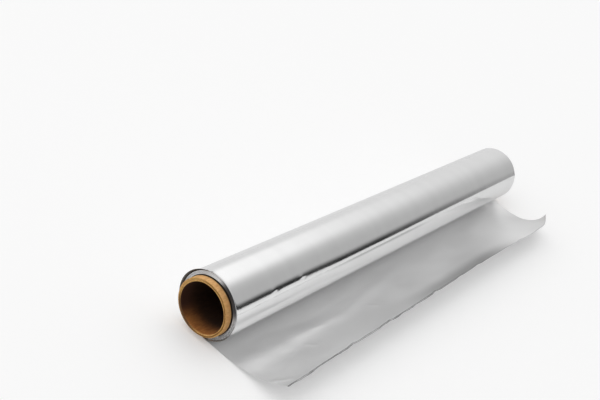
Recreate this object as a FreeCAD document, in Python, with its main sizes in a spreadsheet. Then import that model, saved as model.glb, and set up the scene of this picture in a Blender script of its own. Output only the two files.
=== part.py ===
import FreeCAD, Part
import math
import os
import Sketcher

# A household roll of aluminium foil, lying on a table with its loose end pulled out.
# Millimetres. X runs along the roll, -Y is the way the loose sheet runs, +Z is up.
# The origin is on the table, under the middle of the roll's axis.
# Two pieces: the paperboard tube, and the foil that is wound on it.

# Driving sizes: alias, value, what it is
SIZES = [
    ("core_bore", 26.5, "inner diameter of the paperboard tube"),
    ("core_wall", 2.0, "wall of the tube"),
    ("core_overhang", 4.0, "how far the tube stands out of the foil at each end"),
    ("core_edge", 0.3, "broken corner at the tube's cut ends"),
    ("foil_width", 300.0, "width of the foil, slit edge to slit edge"),
    ("foil_build", 2.3, "all the wound turns together, measured along a radius"),
    ("flat_spot", 0.05, "how far the wound foil is pressed flat where it lies on the table"),
    ("sheet_gauge", 0.3, "thickness given to the loose sheet"),
    ("lying_strip", 10.0, "part of the loose sheet that lies flat at every place along the roll"),
    ("tail_length", 57.5, "loose sheet, from under the axis to the torn edge, measured along it"),
    ("corner_length", 55.0, "the same at the far slit edge, where the tear runs short"),
    ("near_flat", 18.5, "near end: length that lies on the table"),
    ("near_lift", 36.5, "near end: slope of the torn edge, degrees"),
    ("near_quarter_flat", 15.5, "a quarter along: length that lies on the table"),
    ("near_quarter_lift", 36.5, "a quarter along: slope of the torn edge, degrees"),
    ("middle_flat", 13.5, "middle: length that lies on the table"),
    ("middle_lift", 39.0, "middle: slope of the torn edge, degrees"),
    ("far_quarter_flat", 14.5, "three quarters along: length that lies on the table"),
    ("far_quarter_lift", 39.5, "three quarters along: slope of the torn edge, degrees"),
    ("far_bend_flat", 17.5, "where the far corner starts to bend up: length that lies on the table"),
    ("far_bend_lift", 38.0, "where the far corner starts to bend up: slope of the torn edge, degrees"),
    ("far_curl_flat", 20.5, "where the far corner starts to curl: length that lies on the table"),
    ("far_curl_lift", 42.5, "where the far corner starts to curl: slope of the torn edge, degrees"),
    ("far_flat", 31.0, "far end: length that lies on the table"),
    ("far_lift", 77.5, "far end: slope of the torn edge, degrees"),
    ("corner_bend", 35.0, "from the far end to where the corner starts to bend up"),
    ("corner_curl", 15.0, "from the far end to where the corner starts to curl"),
    ("rim_turns", 0.2, "outer turns that end level with the outermost one, measured along a radius"),
    ("turns_setback", 0.8, "how far the next turns lie behind them; those nearer the tube lie behind less"),
    ("tube_gap_depth", 1.4, "depth of the gap between the turns and the tube"),
    ("tube_gap_width", 0.3, "width of that gap, along a radius"),
    ("nick_depth", 1.1, "how deep the tear nicks go into the torn edge"),
]

# Steps between the groups of turns, as parts of the way from the gap at the tube to the outer turns
TURN_STEPS = [0.17, 0.37, 0.55, 0.76]

# Tear nicks: place of the nick's floor along the roll, and how far it opens to each side
NICKS = [
    (-96.0, 7.0, 3.0),
    (-61.0, 12.0, 2.5),
    (-14.0, 5.0, 4.0),
    (38.0, 9.0, 2.0),
    (97.0, 3.0, 6.0),
]

AXIS_HEIGHT = "(Sizes.core_bore / 2 + Sizes.core_wall + Sizes.foil_build - Sizes.flat_spot)"
CORE_RADIUS = "(Sizes.core_bore / 2 + Sizes.core_wall)"
ROLL_RADIUS = "(Sizes.core_bore / 2 + Sizes.core_wall + Sizes.foil_build)"
GAP_RADIUS = "(Sizes.core_bore / 2 + Sizes.core_wall + Sizes.tube_gap_width)"
STEPPED_WIDTH = "(Sizes.foil_build - Sizes.tube_gap_width - Sizes.rim_turns - Sizes.sheet_gauge)"


# A sketch's own origin, as its constraints name it
ORIGIN_POINT = (-1, 1)


def start_of(piece):
    """The first point of a line or an arc, as a sketch's constraints name it."""
    return piece, 1


def end_of(piece):
    return piece, 2


def centre_of(piece):
    return piece, 3


def make_sizes(doc):
    sheet = doc.addObject("Spreadsheet::Sheet", "Sizes")
    for row, (alias, value, note) in enumerate(SIZES, start=1):
        sheet.set("A%d" % row, note)
        sheet.set("B%d" % row, "%g" % value)
        sheet.setAlias("B%d" % row, alias)
    doc.recompute()
    return sheet


def origin_plane(body, role):
    return next(plane for plane in body.Origin.OriginFeatures if plane.Role == role)


def make_sketch(body, name, role):
    sketch = body.newObject("Sketcher::SketchObject", name)
    sketch.AttachmentSupport = (origin_plane(body, role), [""])
    sketch.MapMode = "FlatFace"
    return sketch


def bind(sketch, constraint, expression):
    index = sketch.addConstraint(constraint)
    sketch.setExpression("Constraints[%d]" % index, expression)


def vector(x, y):
    return FreeCAD.Vector(x, y, 0)


def add_line(sketch, start, end):
    return sketch.addGeometry(Part.LineSegment(vector(*start), vector(*end)), False)


def add_arc(sketch, centre, radius, start_angle, end_angle):
    circle = Part.Circle(vector(*centre), FreeCAD.Vector(0, 0, 1), radius)
    return sketch.addGeometry(Part.ArcOfCircle(circle, start_angle, end_angle), False)


def add_circle(sketch, centre, radius):
    circle = Part.Circle(vector(*centre), FreeCAD.Vector(0, 0, 1), radius)
    return sketch.addGeometry(circle, False)


def join(sketch, first, second):
    sketch.addConstraint(Sketcher.Constraint("Coincident", *first, *second))


def put_on_x_axis(sketch, point):
    """Keeps a point on the sketch's own horizontal axis, which constraints name by -1."""
    sketch.addConstraint(Sketcher.Constraint("PointOnObject", *point, -1))


def put_on_y_axis(sketch, point):
    """Keeps a point on the sketch's own vertical axis, which constraints name by -2."""
    sketch.addConstraint(Sketcher.Constraint("PointOnObject", *point, -2))


def make_core(doc, sizes):
    """The tube that the foil is wound on: spirally wound paperboard, cut square at both ends."""
    body = doc.addObject("PartDesign::Body", "CoreTube")
    body.Label = "core_tube"
    section = make_sketch(body, "TubeSection", "YZ_Plane")
    bore_radius = sizes.core_bore / 2
    outside = add_circle(section, (0, 0), bore_radius + sizes.core_wall)
    inside = add_circle(section, (0, 0), bore_radius)
    join(section, centre_of(outside), ORIGIN_POINT)
    join(section, centre_of(inside), ORIGIN_POINT)
    bind(section, Sketcher.Constraint("Radius", outside, bore_radius + sizes.core_wall), CORE_RADIUS)
    bind(section, Sketcher.Constraint("Radius", inside, bore_radius), "Sizes.core_bore / 2")
    tube = body.newObject("PartDesign::Pad", "Tube")
    tube.Profile = section
    tube.SideType = "Symmetric"
    tube.setExpression("Length", "Sizes.foil_width + 2 * Sizes.core_overhang")
    doc.recompute()
    ends = ["Edge%d" % number for number, edge in enumerate(tube.Shape.Edges, start=1) if edge.Closed]
    corners = body.newObject("PartDesign::Chamfer", "CutEnds")
    corners.Base = (tube, ends)
    corners.setExpression("Size", "Sizes.core_edge")
    body.setExpression("Placement.Base.z", AXIS_HEIGHT)
    return body


def make_winding(body, sizes):
    """The wound turns. The last turn leaves the winding at the bottom, so the front is one
    sheet thinner there than the back, and the sheet lies flat in front of it."""
    section = make_sketch(body, "WindingSection", "YZ_Plane")
    gauge = sizes.sheet_gauge
    core_radius = sizes.core_bore / 2 + sizes.core_wall
    roll_radius = core_radius + sizes.foil_build
    axis_height = roll_radius - sizes.flat_spot
    front_radius = roll_radius - gauge / 2
    front_height = axis_height + gauge / 2
    back_foot = math.sqrt(roll_radius ** 2 - axis_height ** 2)
    front_foot = -math.sqrt(front_radius ** 2 - (front_height - gauge) ** 2)
    strip_end = -sizes.lying_strip
    back = add_arc(section, (0, axis_height), roll_radius, math.atan2(-axis_height, back_foot), math.pi / 2)
    front_end = 2 * math.pi + math.atan2(gauge - front_height, front_foot)
    front = add_arc(section, (0, front_height), front_radius, math.pi / 2, front_end)
    strip_top = add_line(section, (front_foot, gauge), (strip_end, gauge))
    strip_side = add_line(section, (strip_end, gauge), (strip_end, 0))
    underside = add_line(section, (strip_end, 0), (back_foot, 0))
    core_seat = add_circle(section, (0, axis_height), core_radius)
    join(section, end_of(back), start_of(front))
    join(section, end_of(front), start_of(strip_top))
    join(section, end_of(strip_top), start_of(strip_side))
    join(section, end_of(strip_side), start_of(underside))
    join(section, end_of(underside), start_of(back))
    join(section, centre_of(core_seat), centre_of(back))
    for point in (centre_of(back), end_of(back), centre_of(front)):
        put_on_y_axis(section, point)
    for point in (start_of(underside), end_of(underside)):
        put_on_x_axis(section, point)
    section.addConstraint(Sketcher.Constraint("Horizontal", strip_top))
    section.addConstraint(Sketcher.Constraint("Vertical", strip_side))
    bind(section, Sketcher.Constraint("DistanceY", *ORIGIN_POINT, *centre_of(back), axis_height), AXIS_HEIGHT)
    bind(section, Sketcher.Constraint("Radius", back, roll_radius), ROLL_RADIUS)
    bind(section, Sketcher.Constraint("Radius", front, front_radius),
         ROLL_RADIUS + " - Sizes.sheet_gauge / 2")
    bind(section, Sketcher.Constraint("Radius", core_seat, core_radius), CORE_RADIUS)
    bind(section, Sketcher.Constraint("DistanceY", *end_of(strip_side), *start_of(strip_side), gauge),
         "Sizes.sheet_gauge")
    bind(section, Sketcher.Constraint("DistanceX", *end_of(strip_side), *ORIGIN_POINT, sizes.lying_strip),
         "Sizes.lying_strip")
    winding = body.newObject("PartDesign::Pad", "Winding")
    winding.Profile = section
    winding.SideType = "Symmetric"
    winding.setExpression("Length", "Sizes.foil_width")
    return winding


def make_tail_section(body, sizes, name, length_name, place, place_expression):
    """One cut across the loose sheet: flat on the table, then an arc up to the torn edge."""
    section = make_sketch(body, "".join(word.title() for word in name.split("_")) + "Section", "YZ_Plane")
    section.AttachmentOffset = FreeCAD.Placement(FreeCAD.Vector(0, 0, place), FreeCAD.Rotation())
    section.setExpression("AttachmentOffset.Base.z", place_expression)
    flat = getattr(sizes, name + "_flat")
    lift = math.radians(getattr(sizes, name + "_lift"))
    gauge = sizes.sheet_gauge
    radius = (getattr(sizes, length_name) - flat) / lift
    radius_expression = "(Sizes.%s - Sizes.%s_flat) * 180 / (pi * Sizes.%s_lift)" % (length_name, name, name)
    across = (math.sin(lift), math.cos(lift))
    lower_tip = (-flat - radius * across[0], radius - radius * across[1])
    upper_tip = (lower_tip[0] + gauge * across[0], lower_tip[1] + gauge * across[1])
    strip_end = -sizes.lying_strip
    below = 3 * math.pi / 2
    lower_flat = add_line(section, (strip_end, 0), (-flat, 0))
    lower_arc = add_arc(section, (-flat, radius), radius, below - lift, below)
    edge = add_line(section, lower_tip, upper_tip)
    upper_arc = add_arc(section, (-flat, radius), radius - gauge, below - lift, below)
    upper_flat = add_line(section, (-flat, gauge), (strip_end, gauge))
    root = add_line(section, (strip_end, gauge), (strip_end, 0))
    join(section, end_of(lower_flat), end_of(lower_arc))
    join(section, start_of(lower_arc), start_of(edge))
    join(section, end_of(edge), start_of(upper_arc))
    join(section, end_of(upper_arc), start_of(upper_flat))
    join(section, end_of(upper_flat), start_of(root))
    join(section, end_of(root), start_of(lower_flat))
    join(section, centre_of(lower_arc), centre_of(upper_arc))
    put_on_x_axis(section, start_of(lower_flat))
    put_on_x_axis(section, end_of(lower_flat))
    section.addConstraint(Sketcher.Constraint("PointOnObject", *centre_of(lower_arc), edge))
    section.addConstraint(Sketcher.Constraint("Vertical", *centre_of(lower_arc), *end_of(lower_arc)))
    section.addConstraint(Sketcher.Constraint("Horizontal", upper_flat))
    section.addConstraint(Sketcher.Constraint("Vertical", root))
    section.addConstraint(Sketcher.Constraint("Vertical", *end_of(upper_arc), *centre_of(upper_arc)))
    bind(section, Sketcher.Constraint("DistanceX", *end_of(root), *ORIGIN_POINT, sizes.lying_strip),
         "Sizes.lying_strip")
    bind(section, Sketcher.Constraint("DistanceX", *end_of(lower_flat), *ORIGIN_POINT, flat),
         "Sizes.%s_flat" % name)
    bind(section, Sketcher.Constraint("Radius", lower_arc, radius), radius_expression)
    bind(section, Sketcher.Constraint("Radius", upper_arc, radius - gauge),
         radius_expression + " - Sizes.sheet_gauge")
    bind(section, Sketcher.Constraint("Angle", edge, math.pi / 2 - lift),
         "90 deg - Sizes.%s_lift * 1 deg" % name)
    return section


def make_tail(body, sizes):
    """The loose sheet, curling up to its torn edge, with the far corner curled up most."""
    half = sizes.foil_width / 2
    stations = [
        ("near", "tail_length", -half, "-Sizes.foil_width / 2"),
        ("near_quarter", "tail_length", -half / 2, "-Sizes.foil_width / 4"),
        ("middle", "tail_length", 0.0, "Sizes.foil_width * 0"),
        ("far_quarter", "tail_length", half / 2, "Sizes.foil_width / 4"),
        ("far_bend", "tail_length", half - sizes.corner_bend, "Sizes.foil_width / 2 - Sizes.corner_bend"),
        ("far_curl", "tail_length", half - sizes.corner_curl, "Sizes.foil_width / 2 - Sizes.corner_curl"),
        ("far", "corner_length", half, "Sizes.foil_width / 2"),
    ]
    sections = [make_tail_section(body, sizes, *station) for station in stations]
    tail = body.newObject("PartDesign::AdditiveLoft", "LooseSheet")
    tail.Profile = sections[0]
    tail.Sections = sections[1:]
    tail.Ruled = True
    tail.Closed = False
    return tail


def make_turns(body, sizes):
    """The turns' edges on the roll's ends. The outer turns end level with the sheet's edge. The next
    ones lie back, those further in come forward again in steps, and a gap is left beside the tube."""
    section = make_sketch(body, "TurnEdgesSection", "XZ_Plane")
    half_width = sizes.foil_width / 2
    core_radius = sizes.core_bore / 2 + sizes.core_wall
    axis_height = core_radius + sizes.foil_build - sizes.flat_spot
    gap_radius = core_radius + sizes.tube_gap_width
    stepped_width = sizes.foil_build - sizes.tube_gap_width - sizes.rim_turns - sizes.sheet_gauge
    axis_line = Part.LineSegment(vector(-half_width, axis_height), vector(0, axis_height))
    axis = section.addGeometry(axis_line, True)
    section.addConstraint(Sketcher.Constraint("Horizontal", axis))
    put_on_y_axis(section, end_of(axis))
    bind(section, Sketcher.Constraint("DistanceY", *ORIGIN_POINT, *end_of(axis), axis_height), AXIS_HEIGHT)
    bind(section, Sketcher.Constraint("DistanceX", *start_of(axis), *ORIGIN_POINT, half_width),
         "Sizes.foil_width / 2")

    radii = [(core_radius, CORE_RADIUS), (gap_radius, GAP_RADIUS)]
    depths = [(sizes.tube_gap_depth, "Sizes.tube_gap_depth")]
    for part in TURN_STEPS + [1.0]:
        radii.append((gap_radius + part * stepped_width, "%s + %g * %s" % (GAP_RADIUS, part, STEPPED_WIDTH)))
        depths.append((part * sizes.turns_setback, "%g * Sizes.turns_setback" % part))
    depths.append((0.0, "0 * Sizes.turns_setback"))
    pieces = []
    before = 0.0
    for number, ((radius, radius_expression), (depth, depth_expression)) in enumerate(zip(radii, depths)):
        height = axis_height + radius
        next_height = axis_height + radii[(number + 1) % len(radii)][0]
        level = add_line(section, (before - half_width, height), (depth - half_width, height))
        upright = add_line(section, (depth - half_width, height), (depth - half_width, next_height))
        section.addConstraint(Sketcher.Constraint("Horizontal", level))
        section.addConstraint(Sketcher.Constraint("Vertical", upright))
        bind(section, Sketcher.Constraint("DistanceY", *ORIGIN_POINT, *end_of(level), height),
             "%s + %s" % (AXIS_HEIGHT, radius_expression))
        bind(section, Sketcher.Constraint("DistanceX", *start_of(upright), *ORIGIN_POINT, half_width - depth),
             "Sizes.foil_width / 2 - %s" % depth_expression)
        pieces += [level, upright]
        before = depth
    for piece, following in zip(pieces, pieces[1:] + pieces[:1]):
        join(section, end_of(piece), start_of(following))
    near_turns = body.newObject("PartDesign::Groove", "NearTurns")
    near_turns.Profile = section
    near_turns.ReferenceAxis = (section, ["Axis0"])
    near_turns.Angle = 360
    far_turns = body.newObject("PartDesign::Mirrored", "FarTurns")
    far_turns.Originals = [near_turns]
    far_turns.MirrorPlane = (origin_plane(body, "YZ_Plane"), [""])
    body.Tip = far_turns
    return far_turns


def make_nicks(body, sizes):
    """Small nicks that tearing left in the edge of the sheet, cut from straight above."""
    section = make_sketch(body, "NickOutline", "XY_Plane")
    lift = math.radians(sizes.middle_lift)
    reach = sizes.middle_flat + (sizes.tail_length - sizes.middle_flat) / lift * math.sin(lift)
    reach_expression = ("(Sizes.middle_flat + (Sizes.tail_length - Sizes.middle_flat) * 180 / (pi * "
                        "Sizes.middle_lift) * sin(Sizes.middle_lift * 1 deg))")
    floor_y = sizes.nick_depth - reach
    for place, left, right in NICKS:
        corners = [
            (place, floor_y),
            (place - left, -reach),
            (place - left, -sizes.tail_length),
            (place + right, -sizes.tail_length),
            (place + right, -reach),
        ]
        fall, left_side, mouth, right_side, rise = [
            add_line(section, corner, corners[(index + 1) % len(corners)])
            for index, corner in enumerate(corners)]
        join(section, end_of(fall), start_of(left_side))
        join(section, end_of(left_side), start_of(mouth))
        join(section, end_of(mouth), start_of(right_side))
        join(section, end_of(right_side), start_of(rise))
        join(section, end_of(rise), start_of(fall))
        section.addConstraint(Sketcher.Constraint("Vertical", left_side))
        section.addConstraint(Sketcher.Constraint("Horizontal", mouth))
        section.addConstraint(Sketcher.Constraint("Vertical", right_side))
        section.addConstraint(Sketcher.Constraint("Horizontal", *end_of(fall), *start_of(rise)))
        section.addConstraint(Sketcher.Constraint("DistanceX", *ORIGIN_POINT, *start_of(fall), place))
        section.addConstraint(Sketcher.Constraint("DistanceX", *end_of(fall), *start_of(fall), left))
        section.addConstraint(Sketcher.Constraint("DistanceX", *end_of(rise), *start_of(rise), right))
        bind(section, Sketcher.Constraint("DistanceY", *start_of(fall), *ORIGIN_POINT, -floor_y),
             reach_expression + " - Sizes.nick_depth")
        bind(section, Sketcher.Constraint("DistanceY", *end_of(fall), *ORIGIN_POINT, reach), reach_expression)
        bind(section, Sketcher.Constraint("DistanceY", *start_of(mouth), *ORIGIN_POINT, sizes.tail_length),
             "Sizes.tail_length")
    nicks = body.newObject("PartDesign::Pocket", "TearNicks")
    nicks.Profile = section
    nicks.Reversed = True
    nicks.setExpression("Length", "Sizes.tail_length")
    return nicks


def make_foil(doc, sizes):
    body = doc.addObject("PartDesign::Body", "Foil")
    body.Label = "foil"
    make_winding(body, sizes)
    doc.recompute()
    tail = make_tail(body, sizes)
    doc.recompute()
    turns = make_turns(body, sizes)
    doc.recompute()
    nicks = make_nicks(body, sizes)
    doc.recompute()
    for cut, before in [(turns, tail), (nicks, turns)]:
        if not cut.Shape.Volume < before.Shape.Volume:
            raise RuntimeError("%s cuts nothing" % cut.Name)
    return body


def check_document(doc, bodies):
    for item in doc.Objects:
        if "Invalid" in item.State or "Error" in item.State:
            raise RuntimeError("%s failed: %s" % (item.Name, item.State))
    for body in bodies:
        if body.Shape.isNull() or not body.Shape.isValid() or len(body.Shape.Solids) != 1:
            raise RuntimeError("%s is not one valid solid" % body.Label)


def main():
    doc = FreeCAD.newDocument("FoilRoll")
    sizes = make_sizes(doc)
    bodies = [make_core(doc, sizes), make_foil(doc, sizes)]
    doc.recompute()
    check_document(doc, bodies)
    os.makedirs("parts", exist_ok=True)
    for body in bodies:
        body.Shape.exportStep(os.path.join("parts", body.Label + ".step"))
        print(body.Label, "volume %.1f" % body.Shape.Volume)


main()
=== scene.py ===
import math

import bpy
import numpy as np
from mathutils import Matrix, Vector


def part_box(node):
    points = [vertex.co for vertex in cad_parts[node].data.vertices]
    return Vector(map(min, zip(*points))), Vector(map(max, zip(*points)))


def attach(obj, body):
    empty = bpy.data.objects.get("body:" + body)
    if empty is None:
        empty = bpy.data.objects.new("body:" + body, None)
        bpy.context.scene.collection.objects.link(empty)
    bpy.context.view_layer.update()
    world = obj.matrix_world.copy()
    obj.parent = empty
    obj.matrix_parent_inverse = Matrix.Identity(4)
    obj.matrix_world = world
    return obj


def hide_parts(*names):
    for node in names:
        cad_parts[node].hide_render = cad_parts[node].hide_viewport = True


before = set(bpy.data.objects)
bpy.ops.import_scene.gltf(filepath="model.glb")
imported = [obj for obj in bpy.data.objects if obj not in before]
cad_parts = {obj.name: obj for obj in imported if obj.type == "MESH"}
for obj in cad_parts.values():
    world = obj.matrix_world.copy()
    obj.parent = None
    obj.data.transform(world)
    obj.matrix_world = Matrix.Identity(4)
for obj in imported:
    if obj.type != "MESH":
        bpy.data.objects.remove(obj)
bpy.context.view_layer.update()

# Lengths are in millimetres in the mesh code, and become metres when a mesh is made. Points that
# fall into one cell as wide as the weld gap become one point.
MM = 0.001
WELD_GAP = 0.0005

# Angles round the roll are in degrees, and run from the table over the back and the top to the
# front: -180 and 180 are the table, -90 the back, 0 the top and 90 the front.

# The roll and its tube, from the frame, with the tube's wall and the broken edge of its mouths
FOIL_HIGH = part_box("foil")[1] / MM
CORE_LOW, CORE_HIGH = [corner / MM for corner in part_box("core_tube")]
HALF_WIDTH = FOIL_HIGH.x
ROLL_RADIUS = FOIL_HIGH.y
AXIS_HEIGHT = (CORE_LOW.z + CORE_HIGH.z) / 2
CORE_RADIUS = (CORE_HIGH.z - CORE_LOW.z) / 2
CORE_END = CORE_HIGH.x
CORE_WALL = 2.0
BORE_RADIUS = CORE_RADIUS - CORE_WALL
CORE_EDGE = 0.12

# How finely the meshes are divided: the foil along the roll, round it and under it, the loose sheet
# up to its torn lip and over it, and the tube along, round and across its wall. An edge of a mesh
# is drawn sharp from an angle on.
WIDTH_STEPS = 265
ROLL_STEPS = 148
UNDER_STEPS = 6
SHEET_STEPS = 94
LIP_STEPS = 4
TUBE_STEPS = 201
TUBE_ROUND_STEPS = 145
TUBE_WALL_STEPS = 15
SHARP_ANGLE = 50.0

# More cross sections next to the slit edges, by distance from the edge, and the rings of an end face,
# from 0 at the outer turn to 1 at the tube: single ones at the rim, and even steps from there on
EDGE_STATIONS = [0.08, 0.2, 0.36, 0.6]
RIM_RINGS = [0.0, 0.03, 0.055, 0.08, 0.11, 0.14]
EVEN_RINGS_START = 0.17
EVEN_RINGS = 26

# Material slots of the foil and of the tube
BRIGHT, SATIN, EDGES, TORN = range(4)
OUTSIDE, CUT, BORE = range(3)

# Smooth random ripples, each layer as height, the size of a ripple each way, and seed: on the outer
# turn, in the torn edge's line, in the sheet, in the torn lip, in the turns' edges, in the edges that
# have come loose, and in the tube's cut ends
RNG_SEED = 7
ROLL_RIPPLES = [(0.012, 34.0, 40.0, 1), (0.006, 9.0, 55.0, 2)]
TORN_RIPPLES = [(0.12, 3.0, 1.0, 3), (0.18, 14.0, 1.0, 4)]
SHEET_RIPPLES = [(0.30, 46.0, 30.0, 5), (0.06, 17.0, 13.0, 6), (0.020, 5.0, 3.6, 7), (0.008, 2.2, 1.9, 8)]
LIP_RIPPLES = [(1.0, 7.0, 1.0, 9)]
TURN_RIPPLES = [(0.09, 0.21, 80.0, 11), (0.05, 0.09, 30.0, 12)]
LOOSE_TURN_RIPPLES = [(0.12, 0.5, 9.0, 13)]
CUT_RIPPLES = [(0.05, 0.3, 20.0, 21), (0.04, 0.2, 5.0, 24)]

# The loose sheet, as it is cut and curled: place along the roll, length on the table, slope of the tip
SHEET_THICKNESS = 0.09
SHEET_LENGTH = 57.5
CORNER_LENGTH = 55.0
CORNER_TRIM = 15.0
STATION_PLACES = [-150.0, -75.0, 0.0, 75.0, 115.0, 135.0, 150.0]
STATION_FLATS = [18.5, 15.5, 13.5, 14.5, 17.5, 20.5, 31.0]
STATION_LIFTS = [36.5, 36.5, 39.0, 39.5, 38.0, 42.5, 77.5]

# Tear nicks: place of the nick's floor, and how far it opens to each side
NICK_DEPTH = 1.1
NICKS = [(-96.0, 7.0, 3.0), (-61.0, 12.0, 2.5), (-14.0, 5.0, 4.0), (38.0, 9.0, 2.0), (97.0, 3.0, 6.0)]

# Creases and soft folds in the loose sheet: start and end as (place, distance along the sheet), width
# and height. Each fades at its ends over this share of its length.
CREASES = [
    ((-50.0, 33.5), (-45.0, 40.0), 1.0, 0.12),
    ((-109.0, 36.5), (-105.5, 41.5), 1.0, 0.12),
    ((-95.0, 30.0), (-86.0, 31.2), 1.3, 0.10),
    ((-149.0, 46.5), (-142.0, 53.5), 1.3, 0.16),
    ((-152.0, 26.5), (-95.0, 29.0), 7.0, 0.78),
    ((-108.0, 28.0), (-71.0, 30.0), 4.0, 0.42),
    ((-68.0, 31.0), (10.0, 19.0), 4.0, 0.25),
    ((84.0, 21.5), (142.0, 12.2), 5.0, 0.30),
]
CREASE_FADE = 0.25

# Creases and ripples come in over this stretch of the sheet, and where the sheet lies on the table
# only a share of them is left
CREASED_FROM = (6.0, 24.0)
LYING_FADE = 8.0
LYING_SHARE = 0.6

# The sheet's far edge: sideways and upward shifts that fade away from the edge, as (distance along
# the sheet, width, sideways, upward)
EDGE_SHIFTS = [(25.0, 5.0, -0.8, 0.0), (41.0, 9.0, 0.0, 0.55)]
EDGE_SHIFT_START = 118.0

# The sheet leaves the roll higher up at the end with the curled corner: angle there, the place
# where that begins, how late it comes, and the length over which the sheet comes down to the table
PEEL_ANGLE = 146.0
PEEL_START = 96.0
PEEL_POWER = 1.5
PEEL_LENGTH = 9.0

# The torn edge: width of the strip that the tear bent down, how far it is bent, how sharply, how
# uneven that is, and the share that is left of it past a stretch of the roll
LIP_WIDTH = 0.95
LIP_DROP = 0.46
LIP_POWER = 1.5
LIP_UNEVEN = (-1.1, 0.4)
LIP_FAR_SHARE = 0.35
LIP_FADE_PLACES = (-30, 60)

# The turns' edges at both ends of the roll: how far the outer ones lie behind the inner ones, the
# gap inside the outermost turn, as depth, width and the cosines over which it starts at the back, the
# gap beside the tube, as depth and walls, the angles between which edges come loose, and the rings
# between which the outermost turn ends
CONE_DEPTH = 0.8
RIM_GAP_DEPTH = 0.9
RIM_GAP_WIDTH = 0.20
RIM_GAP_REACH = (0.1, 0.5)
TUBE_GAP_DEPTH = 1.4
TUBE_GAP_WALLS = (0.02, 0.26)
LOOSE_EDGE_ANGLES = (95, 125)
OUTERMOST_RINGS = (0.02, 0.06)

# The first and the last angle of a ring meet at the table, and unevenness fades out towards them
JOIN_REACH = 12.0

# The slit edge of the outer turn stands up a little from the roll: by how much and over what length,
# and the share of the depth inside it that the turns' edges may use. At the near end it stands up
# more at the back, round one angle.
NEAR_FLARE = 0.20
FAR_FLARE = 0.04
FLARE_REACH = 0.4
UNDER_FLARE = 0.8
BACK_FLARE = 0.85
BACK_FLARE_ANGLE = -80.0
BACK_FLARE_WIDTH = 44.0

# The outer turn ends one thickness lower than it starts, between the top and this angle, and keeps
# its plain shape over the last degrees before the loose sheet leaves it
THINNER_ANGLE = 150
PLAIN_DEGREES = 25

# The outer turn has loosened at the bottom of the front: by how much, and between which angles. Part
# of that comes higher up, by place along the roll.
LOOSENED = 0.34
LOOSENED_ANGLES = (92.0, 114.0)
UPPER_LOOSENED_ANGLES = (46.0, 70.0)
UPPER_LOOSENED_PLACES = [-150.0, -120.0, -90.0, -60.0, -20.0, 30.0, 60.0, 150.0]
UPPER_LOOSENED = [0.0, -0.02, 0.0, 0.16, 0.20, 0.15, 0.09, 0.09]

# Small dents in the outer turn: place, angle round the roll, size along and round, depth
DENTS = [
    (-121.0, 57.0, 1.6, 3.0, 0.07),
    (-118.5, 60.5, 1.2, 2.5, -0.06),
    (-98.5, 57.0, 1.3, 2.6, 0.10),
    (-96.0, 62.0, 1.6, 2.2, -0.08),
]

# The tube's mouths are worn thinner and pressed a little oval, wider along the table: how far the
# outside lies in, how far the bore lies out, how much wider, and how far the mouth leans back. The
# bore's edge is pressed in at one place: by how much, its angle and its width.
OUTSIDE_WORN = 0.22
BORE_WORN = 0.18
OVAL = 0.21
MOUTH_SHIFT = 0.15
BORE_PRESSED = 0.42
BORE_PRESSED_ANGLE = -52.0
BORE_PRESSED_WIDTH = 34.0

# The seam of the spiral winding is a shallow groove: its lead and its shift along the tube, outside
# and in the bore, its depth and width, and the length over which it ends at the mouths
OUTER_SEAM = (62.0, 11.0)
BORE_SEAM = (58.0, -17.0)
SEAM_DEPTH = 0.10
SEAM_WIDTH = 0.8
SEAM_FADE = 1.5

# Values of a noise between which a material goes from one state to the other
NOISE_RANGE = (0.3, 0.7)
NARROW_NOISE_RANGE = (0.35, 0.65)

# The foil's bright side. Patterns on the sheet are given as features to a metre along the roll,
# along the sheet and up. Colours go from the first to the second with the noise.
BRIGHT_LINES = (700.0, 9.0, 1.0)
BRIGHT_WIDE_LINES = (120.0, 5.0, 1.0)
BRIGHT_HAZE = (30.0, 40.0, 1.0)
BRIGHT_ROUGHNESS = (0.09, 0.14)
BRIGHT_GREYS = [(0.85, 0.85, 0.85), (0.868, 0.868, 0.868)]

# The foil's satin side
SATIN_LINES = (500.0, 14.0, 1.0)
SATIN_GRAIN = (900.0, 900.0, 1.0)
SATIN_CLOUD = (22.0, 30.0, 1.0)
SATIN_ROUGHNESS = (0.36, 0.44)
SATIN_GREYS = [(0.897, 0.897, 0.897), (0.922, 0.922, 0.922)]

# Painted shade on the satin side, in metres on the sheet: at the curled corner, at a place in front near
# the torn edge, and along the torn edge, where it is darkest at the near end
CORNER_SHADE_GREY = (0.695, 0.695, 0.695)
CORNER_SHADE_PLACES = (0.100, 0.150)
CORNER_SHADE_ALONG = (0.012, 0.034)
# Painted shade at a place in front, near the torn edge
FRONT_SHADE_GREY = (0.05, 0.05, 0.052)
FRONT_SHADE_PLACE = 0.027
FRONT_SHADE_REACH = (0.02, 0.075)
FRONT_SHADE_ALONG = (0.044, 0.055)
FRONT_SHADE_STRENGTH = 0.45
# Painted shade along the torn edge, patchy with a noise
TORN_SHADE_GREY = (0.18, 0.18, 0.182)
TORN_SHADE_NOISE = (170.0, 900.0, 1.0)
TORN_SHADE_NOISE_STRENGTHS = (0.66, 1.0)
TORN_SHADE_PLACES = (-0.02, 0.085)
TORN_SHADE_STRENGTHS = (0.95, 0.3)

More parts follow.
